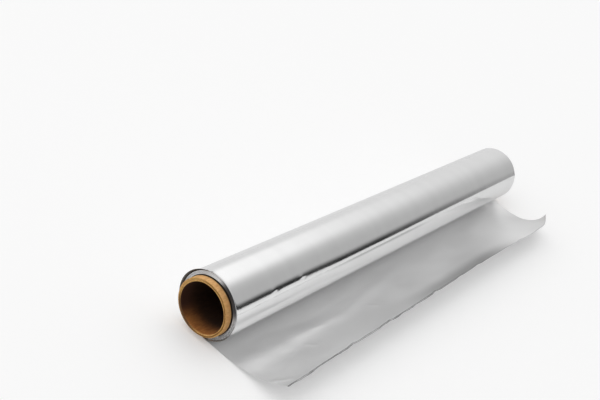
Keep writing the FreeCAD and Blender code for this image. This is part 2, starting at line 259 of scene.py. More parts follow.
# The turns' edges. A zone round the roll is given as its angle, and the cosine of the distance to
# that angle at which it starts and at which it is full.
RING_SCALE = 7000.0
BAND_SCALE = 2200.0
SPECK_SCALE = 1900.0
RING_RANGE = (0.25, 0.6)
SPECK_RANGE = (0.2, 0.6)
SPECK_STRENGTHS = (0.7, 1.0)
EDGE_ROUGHNESS = 0.32
# The dark grey stands for painted shade in the gaps between turns
EDGE_AND_GAP_SHADE_GREYS = [(0.26, 0.26, 0.265), (0.74, 0.74, 0.745)]
# A painted dark reflection at the front
DARK_REFLECTION_ZONE = (44.0, 0.74, 0.95)
DARK_REFLECTION_GREY = (0.030, 0.031, 0.036)
DARK_REFLECTION_STRENGTH = 0.90
# Darker in specks low at the front
LOW_FRONT_ZONE = (150.0, 0.2, 0.7)
LOW_FRONT_RANGE = (0.4, 0.6)
LOW_FRONT_GREY = (0.08, 0.08, 0.082)
LOW_FRONT_STRENGTH = 0.75
# Painted shade, dark and not metal: inside the outermost turn at the back, and in the gap beside the tube
RIM_SHADE_ZONE = (BACK_FLARE_ANGLE, 0.1, 0.6)
RIM_SHADE_WIDTHS = (0.35, 0.1)
RIM_SHADE_GREY = (0.09, 0.09, 0.092)
GAP_SHADE_WIDTHS = (0.04, 0.34)
GAP_SHADE = (0.012, 0.010, 0.008)

# Board, with patterns as features to a metre: fibres, flecks and clouds
FIBRES = (260.0, 900.0, 900.0)
FLECK_SCALE = 1500.0
CLOUD_STRENGTHS = (0.0, 0.6)

# The tube's outside, which is in shade next to the foil
OUTER_CLOUD_SCALE = 210.0
OUTER_CLOUD_RANGE = (0.35, 0.7)
OUTER_BROWNS = [(0.62, 0.325, 0.107), (0.90, 0.525, 0.215)]
OUTER_CLOUD_BROWN = (0.75, 0.37, 0.122)
OUTER_ROUGHNESS = 0.75
JOINT_SHADE_WIDTHS = (0.2, 0.75)
JOINT_SHADE = (0.02, 0.012, 0.006)

# The bore, with painted shade and light: how far in the pale mouth goes over into the painted shade of the
# depth, and which part of the mouth is painted as lit
MOUTH_DEPTHS = (1.0, 13.0)
LIT_MOUTH_BROWNS = [(0.34, 0.115, 0.024), (0.52, 0.20, 0.045)]
DEEP_SHADE_BROWNS = [(0.030, 0.012, 0.005), (0.055, 0.023, 0.009)]
LIT_ZONE = (167.0, 0.28, 0.97)
UNLIT_BROWN = (0.06, 0.017, 0.006)
BORE_ROUGHNESS = 0.8

# The tube's cut ends. The glue line lies this far outside the bore, wanders, and is rubbed off in
# one zone. In another, on the lower back, the plies get painted shade, the inner ones most.
WANDER_SCALE = 170.0
GLUE_WANDER = 0.14
GLUE_DISTANCE = 0.95
GLUE_WIDTHS = (0.15, 0.48)
GLUE_BROWN = (0.25, 0.105, 0.018)
RUBBED_ZONE = (-58.0, 0.5, 0.9)
RUBBED_STRENGTH = 0.7
# Painted shade on the lower back, darkest towards the bore
LOW_BACK_SHADE_ZONE = (-138.0, 0.58, 0.98)
LOW_BACK_SHADE_WIDTHS = (1.1, 0.3)
LOW_BACK_SHADE_STRENGTHS = (0.85, 0.35)
LOW_BACK_SHADE_BROWN = (0.075, 0.028, 0.008)
PLY_SCALE = 5000.0
FUZZ_SCALE = 1300.0
CUT_CLOUD_SCALE = 260.0
CUT_CLOUD_RANGE = (0.4, 0.7)
CUT_BROWNS = [(0.51, 0.255, 0.070), (0.85, 0.49, 0.175)]
CUT_CLOUD_BROWN = (0.66, 0.41, 0.10)
CUT_ROUGHNESS = 0.85

# The camera stands at the near left, above the table, turned about its own line of sight
CAMERA_PLACE = (-471.9, -193.1, 303.2)
CAMERA_TARGET = (-0.88, 53.8, 0.0)
CAMERA_TURN = 22.22
CAMERA_LENS = 59.36
CAMERA_SENSOR = 36.0

# The floor, in metres: half its side, how much paler it looks than it is lit, seen directly and
# mirrored in metal, and the places over which the mirrored part grows weaker
FLOOR_SIDE = 4.0
FLOOR_GREY = (0.80, 0.80, 0.80, 1)
FLOOR_ROUGHNESS = 0.9
FLOOR_LIFT = 0.24
MIRRORED_LIFTS = (0.16, 0.06)
MIRRORED_FRONT = (-0.06, 0.0)
MIRRORED_SIDE = (0.06, 0.20)
MIRRORED_SIDE_SHARES = (1.0, 0.45)

# The studio's light, by the parts of a direction along the roll, to the back and up. Each pair of
# places is where the light goes over from one level to the next.
BACKDROP_LIGHT = 0.94
ROOM_LIGHTS = (0.48, 0.77)
ROOM_BACK = (-0.5, 0.3)
SOFT_BOX_LIGHT = 0.34
SOFT_BOX_ALONG = (0.68, 0.87)
SOFT_BOX_BACK = (-0.25, 0.2)
SOFT_BOX_HEIGHT = (0.15, 0.45)
TOP_LIGHT = 0.30
TOP_HEIGHT = (0.72, 0.90)
WALL_DARKNESS = 0.95
FRONT_WALL_HEIGHT = (0.09, 0.28)
FRONT_WALL_BACK = (-0.60, -0.42)
LEFT_WALL_HEIGHT = (0.22, 0.42)
LEFT_WALL_ALONG = (-0.25, 0.10)
LEFT_WALL_BACK = (0.0, 0.45)


def smooth_curve(where, places, values):
    """A curve through the values with no overshoot: cubic pieces with limited slopes."""
    places, values = np.array(places), np.array(values)
    steps = np.diff(places)
    slopes = np.diff(values) / steps
    tangents = np.zeros(len(values))
    same_way = slopes[:-1] * slopes[1:] > 0
    means = 2 * slopes[:-1] * slopes[1:] / np.where(same_way, slopes[:-1] + slopes[1:], 1)
    tangents[1:-1] = np.where(same_way, means, 0)
    tangents[0], tangents[-1] = slopes[0], slopes[-1]
    index = np.clip(np.searchsorted(places, where) - 1, 0, len(steps) - 1)
    step = steps[index]
    part = (where - places[index]) / step
    start, end = values[index], values[index + 1]
    start_tangent, end_tangent = tangents[index] * step, tangents[index + 1] * step
    return ((2 * part ** 3 - 3 * part ** 2 + 1) * start + (part ** 3 - 2 * part ** 2 + part) * start_tangent
            + (3 * part ** 2 - 2 * part ** 3) * end + (part ** 3 - part ** 2) * end_tangent)


def ease(low, high, value):
    """0 up to the low value, 1 from the high value on, and a smooth step between them."""
    part = np.clip((value - low) / (high - low), 0, 1)
    return part * part * (3 - 2 * part)


def bell(distance, width):
    """1 where the distance is 0, falling smoothly to both sides."""
    return np.exp(-(distance / width) ** 2)


def value_noise(first, second, cell_first, cell_second, seed):
    """Smooth random values from -1 to 1 over a plane, with one new value for each cell."""
    rng = np.random.default_rng(RNG_SEED + seed)
    a, b = first / cell_first, second / cell_second
    a_cell, b_cell = np.floor(a).astype(int), np.floor(b).astype(int)
    a_low, b_low = a_cell.min(), b_cell.min()
    table = rng.uniform(-1, 1, (np.ptp(a_cell) + 2, np.ptp(b_cell) + 2))
    a_part, b_part = ease(0, 1, a - a_cell), ease(0, 1, b - b_cell)
    i, j = a_cell - a_low, b_cell - b_low
    low = table[i, j] * (1 - a_part) + table[i + 1, j] * a_part
    high = table[i, j + 1] * (1 - a_part) + table[i + 1, j + 1] * a_part
    return low * (1 - b_part) + high * b_part


def ripples(first, second, layers, seed_shift=0):
    """The sum of some layers of smooth random ripples over a plane."""
    return sum(height * value_noise(first, second, first_size, second_size, seed + seed_shift)
               for height, first_size, second_size, seed in layers)


def grid_quads(rows, columns, offset, flip):
    """Faces of a grid of points that is stored row by row, from a given first point."""
    start = offset + np.arange(rows - 1)[:, None] * columns + np.arange(columns - 1)[None, :]
    quads = np.stack([start, start + 1, start + columns + 1, start + columns], axis=-1).reshape(-1, 4)
    return quads[:, ::-1] if flip else quads


class Patches:
    """Collects grids of points, in millimetres, and welds them into one mesh."""

    def __init__(self):
        self.points, self.quads, self.uvs, self.slots = [], [], [], []
        self.count = 0

    def add(self, grid, slot, flip=False, uv=None):
        rows, columns = grid.shape[:2]
        quads = grid_quads(rows, columns, self.count, flip)
        self.points.append(grid.reshape(-1, 3))
        self.quads.append(quads)
        self.uvs.append(np.zeros((rows * columns, 2)) if uv is None else uv.reshape(-1, 2))
        self.slots.append(np.full(len(quads), slot))
        self.count += rows * columns

    def to_object(self, name, materials):
        points, quads = np.concatenate(self.points), np.concatenate(self.quads)
        uvs, slots = np.concatenate(self.uvs), np.concatenate(self.slots)
        _, first, merged = np.unique(np.round(points / WELD_GAP).astype(np.int64), axis=0,
                                     return_index=True, return_inverse=True)
        corners = merged.reshape(-1)[quads]
        kept = corners != np.roll(corners, 1, axis=1)
        whole = kept.sum(axis=1) >= 3
        corners, quads, slots, kept = corners[whole], quads[whole], slots[whole], kept[whole]
        faces = [corner[keep].tolist() for corner, keep in zip(corners, kept)]
        mesh = bpy.data.meshes.new(name)
        mesh.from_pydata((points[first] * MM).tolist(), [], faces)
        layer = mesh.uv_layers.new(name="sheet")
        layer.data.foreach_set("uv", uvs[quads[kept]].astype(np.float32).reshape(-1))
        mesh.polygons.foreach_set("material_index", slots.astype(np.int32))
        for material in materials:
            mesh.materials.append(material)
        mesh.validate()
        mesh.shade_smooth()
        mesh.set_sharp_from_angle(angle=math.radians(SHARP_ANGLE))
        thing = bpy.data.objects.new(name, mesh)
        bpy.context.scene.collection.objects.link(thing)
        return thing


class Shader:
    """A node tree that is written from the inputs towards the output."""

    def __init__(self, tree):
        self.tree = tree
        tree.nodes.clear()

    def node(self, kind, inputs=None, **settings):
        made = self.tree.nodes.new(kind)
        for key, value in settings.items():
            setattr(made, key, value)
        for key, value in (inputs or {}).items():
            if isinstance(value, bpy.types.NodeSocket):
                self.tree.links.new(value, made.inputs[key])
            else:
                made.inputs[key].default_value = value
        return made

    def math(self, operation, first, second=0.0):
        return self.node("ShaderNodeMath", {0: first, 1: second}, operation=operation).outputs[0]

    def product(self, first, *others):
        for other in others:
            first = self.math("MULTIPLY", first, other)
        return first

    def rest(self, value):
        """What the value leaves of 1."""
        return self.math("SUBTRACT", 1.0, value)

    def ease(self, value, low, high, to_low=0.0, to_high=1.0):
        made = self.node("ShaderNodeMapRange", {0: value, 1: low, 2: high, 3: to_low, 4: to_high},
                         interpolation_type="SMOOTHSTEP")
        return made.outputs[0]

    def fade(self, value, low, high):
        """1 up to the low value, and 0 from the high value on."""
        return self.ease(value, low, high, 1.0, 0.0)

    def noise(self, vector, scale=1.0, detail=3.0, roughness=0.5):
        made = self.node("ShaderNodeTexNoise", {"Vector": vector, "Scale": scale, "Detail": detail,
                                                "Roughness": roughness})
        return made.outputs["Fac"]

    def ring_noise(self, radius, scale, detail):
        """Noise that changes only with the radius, in rings."""
        made = self.node("ShaderNodeTexNoise", {"W": radius, "Scale": scale, "Detail": detail},
                         noise_dimensions="1D")
        return made.outputs["Fac"]

    def stretch(self, vector, scale):
        return self.node("ShaderNodeMapping", {"Vector": vector, "Scale": scale}).outputs[0]

    def bump(self, height, depth, strength, normal=None):
        """A rough surface: depth in metres, on top of an earlier bump where one is given."""
        inputs = {"Height": height, "Distance": depth, "Strength": strength}
        if normal is not None:
            inputs["Normal"] = normal
        return self.node("ShaderNodeBump", inputs).outputs[0]

    def blend(self, factor, first, second):
        """A mix of two colours, each given as red, green and blue or as a socket. The mix node's
        colour sockets share their names with its other sockets, so they go by number here."""
        first, second = [value if isinstance(value, bpy.types.NodeSocket) else (*value, 1.0)
                         for value in (first, second)]
        made = self.node("ShaderNodeMix", {0: factor, 6: first, 7: second}, data_type="RGBA")
        return made.outputs[2]

    def facing(self, outward, angle, low, high):
        """A zone round the roll: 1 where the way out from the axis is close to an angle, 0 far from it."""
        turn = math.radians(angle)
        middle = (0, -math.sin(turn), math.cos(turn))
        closeness = self.node("ShaderNodeVectorMath", {0: outward, 1: middle}, operation="DOT_PRODUCT")
        return self.ease(closeness.outputs["Value"], low, high)

    def from_axis(self):
        """A point of the object, its distance from the roll's axis, and the way out to it, of length 1."""
        place = self.node("ShaderNodeTexCoord").outputs["Object"]
        axis = (0, 0, AXIS_HEIGHT * MM)
        moved = self.node("ShaderNodeVectorMath", {0: place, 1: axis}, operation="SUBTRACT").outputs[0]
        across = self.node("ShaderNodeVectorMath", {0: moved, 1: (0, 1, 1)}, operation="MULTIPLY").outputs[0]
        radius = self.node("ShaderNodeVectorMath", {0: across}, operation="LENGTH").outputs["Value"]
        outward = self.node("ShaderNodeVectorMath", {0: across}, operation="NORMALIZE").outputs[0]
        return place, radius, outward


def new_material(name):
    material = bpy.data.materials.new(name)
    material.use_nodes = True
    return material, Shader(material.node_tree)


def finish_material(shader, settings):
    principled = shader.node("ShaderNodeBsdfPrincipled", settings)
    shader.node("ShaderNodeOutputMaterial", {"Surface": principled.outputs[0]})


def bright_foil():
    """The side of the foil that met the polished roller: nearly a mirror, with faint rolling lines."""
    material, shader = new_material("bright_foil")
    sheet = shader.node("ShaderNodeTexCoord").outputs["UV"]
    lines = shader.noise(shader.stretch(sheet, BRIGHT_LINES), detail=4.0, roughness=0.6)
    wide_lines = shader.noise(shader.stretch(sheet, BRIGHT_WIDE_LINES), detail=2.0)
    haze = shader.noise(shader.stretch(sheet, BRIGHT_HAZE))
    normal = shader.bump(lines, depth=0.01 * MM, strength=0.5)
    normal = shader.bump(wide_lines, depth=0.04 * MM, strength=0.4, normal=normal)
    roughness = shader.ease(haze, *NOISE_RANGE, *BRIGHT_ROUGHNESS)
    tint = shader.blend(shader.ease(wide_lines, *NARROW_NOISE_RANGE), *BRIGHT_GREYS)
    finish_material(shader, {"Base Color": tint, "Metallic": 1.0, "Roughness": roughness, "Normal": normal})
    return material


def satin_foil(name, torn=False):
    """The side of the foil that met its neighbour in the mill: satin, with soft rolling lines. It has
    painted shade at the curled corner and at a place in front, and darker painted shade along the torn edge."""
    material, shader = new_material(name)
    sheet = shader.node("ShaderNodeTexCoord").outputs["UV"]
    lines = shader.noise(shader.stretch(sheet, SATIN_LINES), detail=4.0, roughness=0.6)
    grain = shader.noise(shader.stretch(sheet, SATIN_GRAIN), detail=2.0)
    cloud = shader.noise(shader.stretch(sheet, SATIN_CLOUD), detail=4.0)
    parts = shader.node("ShaderNodeSeparateXYZ", {0: sheet})
    place, along = parts.outputs["X"], parts.outputs["Y"]
    tint = shader.blend(shader.ease(cloud, *NOISE_RANGE), *SATIN_GREYS)
    # Painted shade at the curled corner
    corner = shader.product(shader.ease(place, *CORNER_SHADE_PLACES), shader.ease(along, *CORNER_SHADE_ALONG))
    tint = shader.blend(corner, tint, CORNER_SHADE_GREY)
    # Painted shade at a place in front, near the torn edge
    from_front_shade = shader.math("ABSOLUTE", shader.math("SUBTRACT", place, FRONT_SHADE_PLACE))
    front_shade = shader.product(shader.ease(from_front_shade, *FRONT_SHADE_REACH, FRONT_SHADE_STRENGTH, 0.0),
                             shader.ease(along, *FRONT_SHADE_ALONG))
    tint = shader.blend(front_shade, tint, FRONT_SHADE_GREY)
    if torn:
        # Painted shade along the torn edge, darkest at the near end and patchy with a noise
        torn_shade_noise = shader.noise(shader.stretch(sheet, TORN_SHADE_NOISE), roughness=0.7)
        torn_shade = shader.product(shader.ease(place, *TORN_SHADE_PLACES, *TORN_SHADE_STRENGTHS),
                              shader.ease(torn_shade_noise, *NARROW_NOISE_RANGE, *TORN_SHADE_NOISE_STRENGTHS))
        tint = shader.blend(torn_shade, tint, TORN_SHADE_GREY)
    normal = shader.bump(lines, depth=0.02 * MM, strength=0.5)
    normal = shader.bump(grain, depth=0.01 * MM, strength=0.4, normal=normal)
    roughness = shader.ease(cloud, *NOISE_RANGE, *SATIN_ROUGHNESS)
    finish_material(shader, {"Base Color": tint, "Metallic": 1.0, "Roughness": roughness, "Normal": normal})
    return material


def turn_edges():
    """The slit edges of the wound turns: fine rings of metal, with painted shade in rings for the gaps
    between them and a painted dark reflection at the front. Low at the front they are darker in specks.
    The gap beside the tube and the gap inside the outermost turn at the back have painted shade: dark, and
    not metal."""
    material, shader = new_material("turn_edges")
    place, radius, outward = shader.from_axis()
    rings = shader.ring_noise(radius, RING_SCALE, detail=4.0)
    bands = shader.ring_noise(radius, BAND_SCALE, detail=2.0)
    specks = shader.noise(place, SPECK_SCALE, roughness=0.7)
    # The darker rings are painted shade for the gaps between turns; the specks vary the grey at random
    shade = shader.product(shader.ease(rings, *RING_RANGE),
                           shader.ease(specks, *SPECK_RANGE, *SPECK_STRENGTHS))
    tint = shader.blend(shade, *EDGE_AND_GAP_SHADE_GREYS)
    # Darker in specks low at the front of the end face
    worn = shader.product(shader.facing(outward, *LOW_FRONT_ZONE), shader.ease(specks, *LOW_FRONT_RANGE), LOW_FRONT_STRENGTH)
    tint = shader.blend(worn, tint, LOW_FRONT_GREY)
    # A painted dark reflection at the front of the end face
    dark_reflection = shader.product(shader.facing(outward, *DARK_REFLECTION_ZONE), DARK_REFLECTION_STRENGTH)
    tint = shader.blend(dark_reflection, tint, DARK_REFLECTION_GREY)
    # Painted shade, dark and not metal, in the gap beside the tube and inside the outermost turn at the back
    off_tube = shader.ease(radius, *[(CORE_RADIUS + width) * MM for width in GAP_SHADE_WIDTHS])
    tint = shader.blend(off_tube, GAP_SHADE, tint)
    near_rim = shader.ease(radius, *[(ROLL_RADIUS - width) * MM for width in RIM_SHADE_WIDTHS])
    under_rim = shader.product(near_rim, shader.facing(outward, *RIM_SHADE_ZONE))
    tint = shader.blend(under_rim, tint, RIM_SHADE_GREY)
    metal = shader.product(off_tube, shader.rest(under_rim))
    normal = shader.bump(rings, depth=0.06 * MM, strength=0.6)
    normal = shader.bump(bands, depth=0.08 * MM, strength=0.5, normal=normal)
    finish_material(shader, {"Base Color": tint, "Metallic": metal, "Roughness": EDGE_ROUGHNESS,
                             "Normal": normal})
    return material


def board_fibres(shader, place):
    return shader.noise(shader.stretch(place, FIBRES), detail=5.0, roughness=0.65)


def outer_board():
    """Brown board with fibres along the tube, in shade next to the foil."""
    material, shader = new_material("outer_board")
    place = shader.node("ShaderNodeTexCoord").outputs["Object"]
    fibres = board_fibres(shader, place)
    flecks = shader.noise(place, FLECK_SCALE)
    cloud = shader.noise(place, OUTER_CLOUD_SCALE)
    tint = shader.blend(shader.ease(fibres, *NOISE_RANGE), *OUTER_BROWNS)
    tint = shader.blend(shader.ease(cloud, *OUTER_CLOUD_RANGE, *CLOUD_STRENGTHS), tint, OUTER_CLOUD_BROWN)
    along = shader.node("ShaderNodeSeparateXYZ", {0: place}).outputs["X"]
    from_foil = shader.math("SUBTRACT", shader.math("ABSOLUTE", along), HALF_WIDTH * MM)
    off_joint = shader.ease(from_foil, *[width * MM for width in JOINT_SHADE_WIDTHS])
    tint = shader.blend(off_joint, JOINT_SHADE, tint)
    normal = shader.bump(fibres, depth=0.12 * MM, strength=0.5)
    normal = shader.bump(flecks, depth=0.05 * MM, strength=0.5, normal=normal)
    finish_material(shader, {"Base Color": tint, "Metallic": 0.0, "Roughness": OUTER_ROUGHNESS,
                             "Normal": normal})
    return material


def bore_board():
    """The inside of the tube: brown board with painted shade that darkens it deeper in, and painted light on
    the lower side of its mouths.
    """
    material, shader = new_material("bore_board")
    place, _, outward = shader.from_axis()
    fibres = board_fibres(shader, place)
    along = shader.node("ShaderNodeSeparateXYZ", {0: place}).outputs["X"]
    inside = shader.math("SUBTRACT", CORE_END * MM, shader.math("ABSOLUTE", along))
    # Painted shade, growing deeper into the bore
    depth = shader.ease(inside, *[distance * MM for distance in MOUTH_DEPTHS])
    fibrous = shader.ease(fibres, *NOISE_RANGE)
    # Painted light on the lower side of the mouth; the rest of the mouth is painted unlit
    mouth = shader.blend(shader.facing(outward, *LIT_ZONE), UNLIT_BROWN, shader.blend(fibrous, *LIT_MOUTH_BROWNS))
    tint = shader.blend(depth, mouth, shader.blend(fibrous, *DEEP_SHADE_BROWNS))
    normal = shader.bump(fibres, depth=0.12 * MM, strength=0.5)
    finish_material(shader, {"Base Color": tint, "Metallic": 0.0, "Roughness": BORE_ROUGHNESS,
                             "Normal": normal})
    return material


def cut_board():
    """The tube's sawn ends: pale plies with one dark glue line, a fibrous surface, and painted shade on the
    lower back.
    """
    material, shader = new_material("cut_board")
    place, radius, outward = shader.from_axis()
    wander = shader.noise(place, WANDER_SCALE)
    shift = shader.ease(wander, *NOISE_RANGE, -GLUE_WANDER * MM, GLUE_WANDER * MM)
    shifted = shader.math("ADD", radius, shift)
    from_glue = shader.math("ABSOLUTE", shader.math("SUBTRACT", shifted, (BORE_RADIUS + GLUE_DISTANCE) * MM))
    glue = shader.fade(from_glue, *[width * MM for width in GLUE_WIDTHS])
    rubbed = shader.product(shader.facing(outward, *RUBBED_ZONE), RUBBED_STRENGTH)
    plies = shader.ring_noise(shifted, PLY_SCALE, detail=2.0)
    fuzz = shader.noise(place, FUZZ_SCALE, detail=4.0, roughness=0.7)
    cloud = shader.noise(place, CUT_CLOUD_SCALE)
    tint = shader.blend(shader.ease(fuzz, *NARROW_NOISE_RANGE), *CUT_BROWNS)
    tint = shader.blend(shader.ease(cloud, *CUT_CLOUD_RANGE, *CLOUD_STRENGTHS), tint, CUT_CLOUD_BROWN)
    tint = shader.blend(shader.product(glue, shader.rest(rubbed)), tint, GLUE_BROWN)
    # Painted shade on the lower back of the cut end, darkest towards the bore
    ply_radii = [(CORE_RADIUS - width) * MM for width in LOW_BACK_SHADE_WIDTHS]
    low_back_shade = shader.product(shader.facing(outward, *LOW_BACK_SHADE_ZONE),
                            shader.ease(radius, *ply_radii, *LOW_BACK_SHADE_STRENGTHS))
    tint = shader.blend(low_back_shade, tint, LOW_BACK_SHADE_BROWN)
    normal = shader.bump(fuzz, depth=0.25 * MM, strength=0.7)
    normal = shader.bump(plies, depth=0.1 * MM, strength=0.5, normal=normal)
    finish_material(shader, {"Base Color": tint, "Metallic": 0.0, "Roughness": CUT_ROUGHNESS,
                             "Normal": normal})
    return material


def along_stations():
    """Places of the cross sections along the foil, closer together at the slit edges."""
    inside = np.linspace(-HALF_WIDTH, HALF_WIDTH, WIDTH_STEPS)
    ends = HALF_WIDTH - np.array(EDGE_STATIONS)
    return np.unique(np.concatenate([inside, ends, -ends]))


def ring_points(x, angle, radius):
    """Points by place along the roll, angle round it and distance from its axis."""
    turn = np.radians(angle)
    return np.stack([x, -radius * np.sin(turn), AXIS_HEIGHT + radius * np.cos(turn)], axis=-1)


def flare(x, angle):
    """How far the outer turn stands up from the roll at its slit edges."""
    more = BACK_FLARE * bell(angle - BACK_FLARE_ANGLE, BACK_FLARE_WIDTH)
    return np.where(x < 0, NEAR_FLARE + more, FAR_FLARE) * np.exp(-(HALF_WIDTH - np.abs(x)) / FLARE_REACH)


def peel_angle(x):
    """Angle round the roll at which the loose sheet leaves it."""
    inner_radius = ROLL_RADIUS - SHEET_THICKNESS
    on_table = 180 - math.degrees(math.acos((AXIS_HEIGHT - SHEET_THICKNESS) / inner_radius))
    return on_table - (on_table - PEEL_ANGLE) * ease(PEEL_START, HALF_WIDTH, x) ** PEEL_POWER


def peel_point(x):
    """Where the loose sheet's upper side leaves the roll: distance in front of the axis, and height."""
    inner_radius = ROLL_RADIUS - SHEET_THICKNESS
    turn = np.radians(180 - peel_angle(x))
    return inner_radius * np.sin(turn), AXIS_HEIGHT - inner_radius * np.cos(turn)


def roll_surface(x, angle):
    """Points of the outer turn, with its ripples, dents, loosened front and flared edges."""
    radius = ROLL_RADIUS - SHEET_THICKNESS * np.clip(angle, 0, THINNER_ANGLE) / THINNER_ANGLE
    shape = flare(x, angle) + ripples(x, angle, ROLL_RIPPLES)
    for place, where, long_size, round_size, depth in DENTS:
        shape = shape + depth * bell(x - place, long_size) * bell(angle - where, round_size)
    upper = smooth_curve(x, UPPER_LOOSENED_PLACES, UPPER_LOOSENED)
    shape = shape + upper * ease(*UPPER_LOOSENED_ANGLES, angle)
    shape = shape + (LOOSENED - upper) * ease(*LOOSENED_ANGLES, angle)
    before_peel = ease(0, PLAIN_DEGREES, peel_angle(x) - angle)
    points = ring_points(x, angle, radius + shape * before_peel)
    points[..., 2] = np.maximum(points[..., 2], 0.0)
    return points


def cut_length(x):
    """Length of the loose sheet at a place along the roll, as the far corner is trimmed."""
    return SHEET_LENGTH - (SHEET_LENGTH - CORNER_LENGTH) * ease(HALF_WIDTH - CORNER_TRIM, HALF_WIDTH, x)


def sheet_length(x):
    """Length of the loose sheet at a place along the roll, torn edge and nicks included."""
    length = cut_length(x) + ripples(x, 0 * x, TORN_RIPPLES)
    for place, left, right in NICKS:
        opening = np.where(x < place, (place - x) / left, (x - place) / right)
        length = length - NICK_DEPTH * np.clip(1 - opening, 0, 1)
    return length


def sheet_base(x, along):
    """The underside of the loose sheet before creases: points, the way up through the sheet, and
    the length that lies on the table."""
    flat = smooth_curve(x, STATION_PLACES, STATION_FLATS)
    lift = np.radians(smooth_curve(x, STATION_PLACES, STATION_LIFTS))
    bend = (cut_length(x) - flat) / lift
    slope = np.clip(along - flat, 0, None) / bend
    y = -(np.minimum(along, flat) + bend * np.sin(slope))
    z = bend * (1 - np.cos(slope))
    peel_along, peel_height = peel_point(x)
    down = np.clip(1 - (along - peel_along) / PEEL_LENGTH, 0, 1) ** 2
    z = z + (peel_height - SHEET_THICKNESS) * down
    at_edge = ease(EDGE_SHIFT_START, HALF_WIDTH, x)
    aside = np.zeros_like(x)
    for middle, width, sideways, upward in EDGE_SHIFTS:
        strength = bell(along - middle, width) * at_edge
        aside, z = aside + sideways * strength, z + upward * strength
    up = np.stack([0 * x, np.sin(slope), np.cos(slope)], axis=-1)
    return np.stack([x + aside, y, z], axis=-1), up, flat


def crease_height(x, along):
    """Creases, folds and ripples in the sheet, in millimetres across it."""
    total = np.zeros_like(x)
    for (start_x, start_s), (end_x, end_s), width, height in CREASES:
        run_x, run_s = end_x - start_x, end_s - start_s
        length = math.hypot(run_x, run_s)
        part = ((x - start_x) * run_x + (along - start_s) * run_s) / length
        aside = ((x - start_x) * run_s - (along - start_s) * run_x) / length
        fade = CREASE_FADE * length
        ends = ease(-fade, fade, part) * (1 - ease(length - fade, length + fade, part))
        total = total + height * bell(aside, width) * ends
    return total + ripples(x, along, SHEET_RIPPLES)


def lip_drop(x, to_edge):
    """How far the torn edge is bent down, by place and by distance to the edge."""
    near_share = 1 - ease(*LIP_FADE_PLACES, x)
    strength = LIP_FAR_SHARE + (1 - LIP_FAR_SHARE) * near_share
    strength = strength * ease(*LIP_UNEVEN, ripples(x, 0 * x, LIP_RIPPLES))
    return LIP_DROP * strength * np.clip(1 - to_edge / LIP_WIDTH, 0, 1) ** LIP_POWER


def sheet_surface(x, along, length):
    """The underside of the loose sheet, and the same points one thickness up."""
    base, up, flat = sheet_base(x, along)
    height = crease_height(x, along) * ease(*CREASED_FROM, along)
    lying = 1 - ease(0.0, LYING_FADE, along - flat)
    height = height * (1 - lying) + np.abs(height) * lying * LYING_SHARE
    under = base + up * (height - lip_drop(x, length - along))[..., None]
    under[..., 2] = np.maximum(under[..., 2], 0.0)
    return under, under + up * SHEET_THICKNESS


def outer_turn(places):
    """The outside of the roll, from the table over its back to where the loose sheet leaves it."""
    x, part = np.meshgrid(places, np.linspace(0, 1, ROLL_STEPS), indexing="ij")
    angle = -180 + (180 + peel_angle(x)) * part
    points = roll_surface(x, angle)
    points[:, 0, 1:] = 0.0
    peel_along, peel_height = peel_point(places)
    points[:, -1, 1], points[:, -1, 2] = -peel_along, peel_height
    round_length = ROLL_RADIUS * np.radians(angle + 180)
    return points, np.stack([x, -round_length], axis=-1) * MM


def strip_under_roll(places):
    """The underside of the foil below the roll, from the middle forwards to the loose sheet."""
    x, part = np.meshgrid(places, np.linspace(0, 1, UNDER_STEPS + 1)[:-1], indexing="ij")
    angle = 180 - (180 - peel_angle(x)) * part
    points = ring_points(x, angle, ROLL_RADIUS)
    points[..., 2] = np.maximum(points[..., 2], 0.0)
    points[:, 0, 1:] = 0.0
    return points, np.stack([x, -points[..., 1]], axis=-1) * MM


def loose_sheet(places):
    """The underside and the upper side of the loose sheet, from the roll to the torn edge."""
    before_lip = 1 - LIP_WIDTH / SHEET_LENGTH
    lip_parts = np.linspace(before_lip, 1, LIP_STEPS + 1)[1:]
    parts = np.concatenate([np.linspace(0, before_lip, SHEET_STEPS), lip_parts])
    x, part = np.meshgrid(places, parts, indexing="ij")
    length = sheet_length(x)
    start, _ = peel_point(x)
    along = start + (length - start) * part
    under, top = sheet_surface(x, along, length)
    return under, top, np.stack([x, along], axis=-1) * MM


def build_foil():
    """The wound turns and the loose sheet as one closed mesh."""
    places = along_stations()
    outer, outer_uv = outer_turn(places)
    bottom, bottom_uv = strip_under_roll(places)
    under, top, uv = loose_sheet(places)
    top[:, 0] = outer[:, -1]

    patches = Patches()
    patches.add(outer, BRIGHT, uv=outer_uv)
    underside = np.concatenate([bottom, under], axis=1)
    patches.add(underside, BRIGHT, flip=True, uv=np.concatenate([bottom_uv, uv], axis=1))
    patches.add(top[:, :SHEET_STEPS], SATIN, uv=uv[:, :SHEET_STEPS])
    patches.add(top[:, SHEET_STEPS - 1:], TORN, uv=uv[:, SHEET_STEPS - 1:])
    torn_edge = np.stack([under[:, -1], top[:, -1]], axis=1)
    patches.add(torn_edge, TORN, flip=True, uv=np.stack([uv[:, -1], uv[:, -1]], axis=1))
    for end, flip in ((0, True), (-1, False)):
        side_under = np.concatenate([bottom[end, -1:], under[end]])
        side_top = np.concatenate([outer[end, -1:], top[end]])
        patches.add(np.stack([side_under, side_top], axis=0), BRIGHT, flip=flip)
        add_end_face(patches, np.concatenate([outer[end], bottom[end, ::-1]]), flip)
    hole_x, hole_angle = np.meshgrid(places[[0, -1]], end_angles(), indexing="ij")
    patches.add(ring_points(hole_x, hole_angle, CORE_RADIUS), EDGES, flip=True)
    materials = [bright_foil(), satin_foil("matte_foil"), turn_edges(), satin_foil("torn_foil", torn=True)]
    return patches.to_object("foil_with_tail", materials)


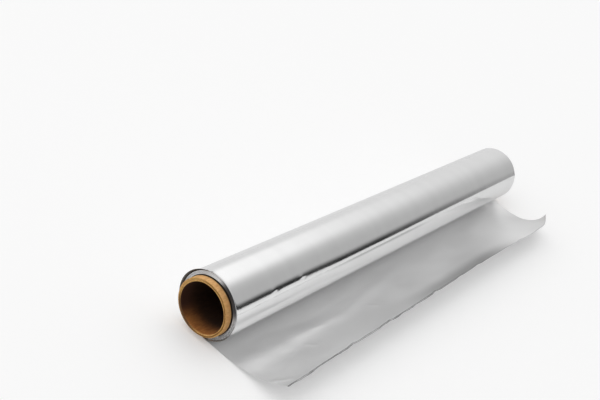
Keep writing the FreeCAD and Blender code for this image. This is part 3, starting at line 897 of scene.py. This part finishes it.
def end_angles():
    """Angles of the points round an end face, the same at both ends of the roll."""
    return np.linspace(-180.0, 180.0, ROLL_STEPS + UNDER_STEPS)


def off_join(angles):
    """0 at the table, where the first and the last angle of a ring meet, and 1 away from there."""
    return ease(0.0, JOIN_REACH, 180.0 - np.abs(angles))


def end_profile(radii, angles):
    """How far the turns' edges lie behind the outermost one, by radius and angle: they lie on a
    flat cone, with a gap inside the outermost turn and another beside the tube."""
    cone = CONE_DEPTH * (radii - CORE_RADIUS) / (ROLL_RADIUS - CORE_RADIUS)
    under_rim = RIM_GAP_DEPTH * bell(radii - ROLL_RADIUS, RIM_GAP_WIDTH)
    under_rim = under_rim * ease(*RIM_GAP_REACH, np.cos(np.radians(angles - BACK_FLARE_ANGLE)))
    beside_tube = TUBE_GAP_DEPTH * (1 - ease(*TUBE_GAP_WALLS, radii - CORE_RADIUS))
    loose_edges = ripples(radii, angles, LOOSE_TURN_RIPPLES) * ease(*LOOSE_EDGE_ANGLES, np.abs(angles))
    uneven = (ripples(radii, angles, TURN_RIPPLES) + loose_edges) * off_join(angles)
    return np.maximum(cone + under_rim + beside_tube + uneven, 0.0)


def add_end_face(patches, rim, flip):
    """The slit edges of the turns on one end of the roll, from the outer turn in to the tube. Those
    that lie further out than the roll's own radius stay under the flared outer turn."""
    x_end = rim[0, 0]
    angles = end_angles()
    inner = ring_points(np.full(len(angles), x_end), angles, CORE_RADIUS)
    rings = np.concatenate([RIM_RINGS, np.linspace(EVEN_RINGS_START, 1.0, EVEN_RINGS)])
    grid = rim[None] * (1 - rings[:, None, None]) + inner[None] * rings[:, None, None]
    radii = np.hypot(grid[..., 1], grid[..., 2] - AXIS_HEIGHT)
    around = np.broadcast_to(angles, radii.shape)
    behind = end_profile(radii, around) * ease(*OUTERMOST_RINGS, rings)[:, None]
    above_roll = np.maximum(radii - ROLL_RADIUS, WELD_GAP)
    rim_height = np.maximum(above_roll[0], above_roll)
    inside_flare = UNDER_FLARE * FLARE_REACH * np.log(rim_height / above_roll)
    behind = np.where(radii > ROLL_RADIUS, np.minimum(behind, inside_flare), behind)
    grid[..., 0] -= np.sign(x_end) * behind
    grid[-1, :, 0] = x_end
    patches.add(grid, EDGES, flip=not flip)


def tube_points(x, angle, radius):
    """Points of the tube, which is worn, a little oval, pressed in at one place and leans back where
    it stands out of the foil."""
    at_mouth = ease(HALF_WIDTH - TUBE_GAP_DEPTH, HALF_WIDTH, np.abs(x))
    outer_part = (radius - BORE_RADIUS) / CORE_WALL
    worn = BORE_WORN - (BORE_WORN + OUTSIDE_WORN) * outer_part
    pressed = BORE_PRESSED * bell(angle - BORE_PRESSED_ANGLE, BORE_PRESSED_WIDTH) * (1 - outer_part)
    shift = worn - pressed - OVAL * np.cos(2 * np.radians(angle))
    points = ring_points(x, angle, radius + shift * at_mouth)
    points[..., 1] += MOUTH_SHIFT * at_mouth
    return points


def tube_wall(angles, radius, seam, into_wall):
    """The outside or the bore of the tube, with the groove of the winding's seam sunk into the wall."""
    places = np.linspace(-CORE_END + CORE_EDGE, CORE_END - CORE_EDGE, TUBE_STEPS)
    x, angle = np.meshgrid(places, angles, indexing="ij")
    lead, shift = seam
    from_seam = np.abs((x - shift - lead * angle / 360 + lead / 2) % lead - lead / 2)
    from_mouth = ease(0.0, SEAM_FADE, CORE_END - CORE_EDGE - np.abs(x))
    groove = SEAM_DEPTH * bell(from_seam, SEAM_WIDTH) * from_mouth
    return tube_points(x, angle, radius + into_wall * groove)


def tube_end(angles, end):
    """A cut end of the tube: rough, with its two edges broken."""
    radii = BORE_RADIUS + (CORE_RADIUS - BORE_RADIUS) * np.linspace(0, 1, TUBE_WALL_STEPS)
    from_edge = np.minimum(radii - BORE_RADIUS, CORE_RADIUS - radii)
    middle = np.clip(from_edge / CORE_EDGE, 0, 1)
    face = CORE_END - CORE_EDGE * (1 - np.sqrt(1 - (1 - middle) ** 2))
    radius, angle = np.meshgrid(radii, angles, indexing="ij")
    rough = ripples(radius, angle, CUT_RIPPLES, seed_shift=end) * off_join(angle)
    depth = face[:, None] + rough * (middle > 0)[:, None]
    return tube_points(end * np.minimum(depth, CORE_END), angle, radius)


def build_core():
    """The spirally wound tube as one closed mesh."""
    angles = np.linspace(-180.0, 180.0, TUBE_ROUND_STEPS)
    patches = Patches()
    patches.add(tube_wall(angles, CORE_RADIUS, OUTER_SEAM, into_wall=-1), OUTSIDE)
    patches.add(tube_wall(angles, BORE_RADIUS, BORE_SEAM, into_wall=1), BORE, flip=True)
    for end in (-1, 1):
        patches.add(tube_end(angles, end), CUT, flip=end > 0)
    return patches.to_object("board_tube", [outer_board(), cut_board(), bore_board()])


def make_camera():
    data = bpy.data.cameras.new("camera")
    data.lens = CAMERA_LENS
    data.sensor_width = CAMERA_SENSOR
    camera = bpy.data.objects.new("camera", data)
    bpy.context.scene.collection.objects.link(camera)
    place, target = Vector(CAMERA_PLACE) * MM, Vector(CAMERA_TARGET) * MM
    forward = (target - place).normalized()
    right = forward.cross(Vector((0, 0, 1))).normalized()
    up = right.cross(forward)
    turn = math.radians(CAMERA_TURN)
    turned_right = right * math.cos(turn) + up * math.sin(turn)
    turned_up = up * math.cos(turn) - right * math.sin(turn)
    axes = Matrix((turned_right, turned_up, -forward)).transposed().to_4x4()
    camera.matrix_world = Matrix.Translation(place) @ axes
    bpy.context.scene.camera = camera


def seen_directly(shader):
    """1 for the rays that look at the background, and 0 for those that carry light."""
    paths = shader.node("ShaderNodeLightPath")
    return shader.math("MAXIMUM", paths.outputs["Is Camera Ray"], paths.outputs["Is Transmission Ray"])


def make_floor():
    """A pale table top. It looks a little paler than it is lit, and less so where metal mirrors it."""
    corners = [(-FLOOR_SIDE, -FLOOR_SIDE, 0), (FLOOR_SIDE, -FLOOR_SIDE, 0),
               (FLOOR_SIDE, FLOOR_SIDE, 0), (-FLOOR_SIDE, FLOOR_SIDE, 0)]
    mesh = bpy.data.meshes.new("floor")
    mesh.from_pydata(corners, [], [(0, 1, 2, 3)])
    floor = bpy.data.objects.new("floor", mesh)
    bpy.context.scene.collection.objects.link(floor)
    material, shader = new_material("pale_floor")
    mirrored = shader.node("ShaderNodeLightPath").outputs["Is Glossy Ray"]
    place = shader.node("ShaderNodeSeparateXYZ", {0: shader.node("ShaderNodeTexCoord").outputs["Object"]})
    in_front = shader.ease(place.outputs["Y"], *MIRRORED_FRONT, *MIRRORED_LIFTS)
    to_left = shader.ease(place.outputs["X"], *MIRRORED_SIDE, *MIRRORED_SIDE_SHARES)
    lift = shader.math("ADD", shader.product(seen_directly(shader), FLOOR_LIFT),
                       shader.product(mirrored, in_front, to_left))
    finish_material(shader, {"Base Color": FLOOR_GREY, "Roughness": FLOOR_ROUGHNESS,
                             "Emission Color": (1, 1, 1, 1), "Emission Strength": lift})
    mesh.materials.append(material)


def make_world():
    """Soft studio light all round: half bright in front, brighter behind, brightest overhead. A dark
    wall stands low in front and to the left, and polished foil shows it as one dark streak."""
    world = bpy.data.worlds.new("studio")
    bpy.context.scene.world = world
    world.use_nodes = True
    shader = Shader(world.node_tree)
    direction = shader.node("ShaderNodeTexCoord").outputs["Generated"]
    parts = shader.node("ShaderNodeSeparateXYZ", {0: direction})
    along, back, height = [parts.outputs[axis] for axis in "XYZ"]

    soft_box = shader.product(shader.ease(along, *SOFT_BOX_ALONG, SOFT_BOX_LIGHT, 0.0),
                              shader.ease(back, *SOFT_BOX_BACK), shader.ease(height, *SOFT_BOX_HEIGHT))
    light = shader.math("ADD", shader.ease(back, *ROOM_BACK, *ROOM_LIGHTS), soft_box)
    light = shader.math("ADD", light, shader.ease(height, *TOP_HEIGHT, 0.0, TOP_LIGHT))

    front_wall = shader.product(shader.fade(height, *FRONT_WALL_HEIGHT), shader.fade(back, *FRONT_WALL_BACK))
    left_wall = shader.product(shader.fade(height, *LEFT_WALL_HEIGHT), shader.fade(along, *LEFT_WALL_ALONG),
                               shader.fade(back, *LEFT_WALL_BACK))
    wall = shader.math("MAXIMUM", front_wall, left_wall)
    light = shader.product(light, shader.rest(shader.product(wall, WALL_DARKNESS)))

    directly = seen_directly(shader)
    strength = shader.node("ShaderNodeMix", {"Factor": directly, "A": light, "B": BACKDROP_LIGHT})
    background = shader.node("ShaderNodeBackground", {"Color": (1, 1, 1, 1), "Strength": strength.outputs[0]})
    shader.node("ShaderNodeOutputWorld", {"Surface": background.outputs[0]})


def main():
    foil = build_foil()
    core = build_core()
    for piece, node, slot in ((foil, "foil", "foil"), (core, "core_tube", "paperboard")):
        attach(piece, "root")
        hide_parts(node)
    make_floor()
    make_world()
    make_camera()
    bpy.context.scene.view_settings.view_transform = "Standard"


main()
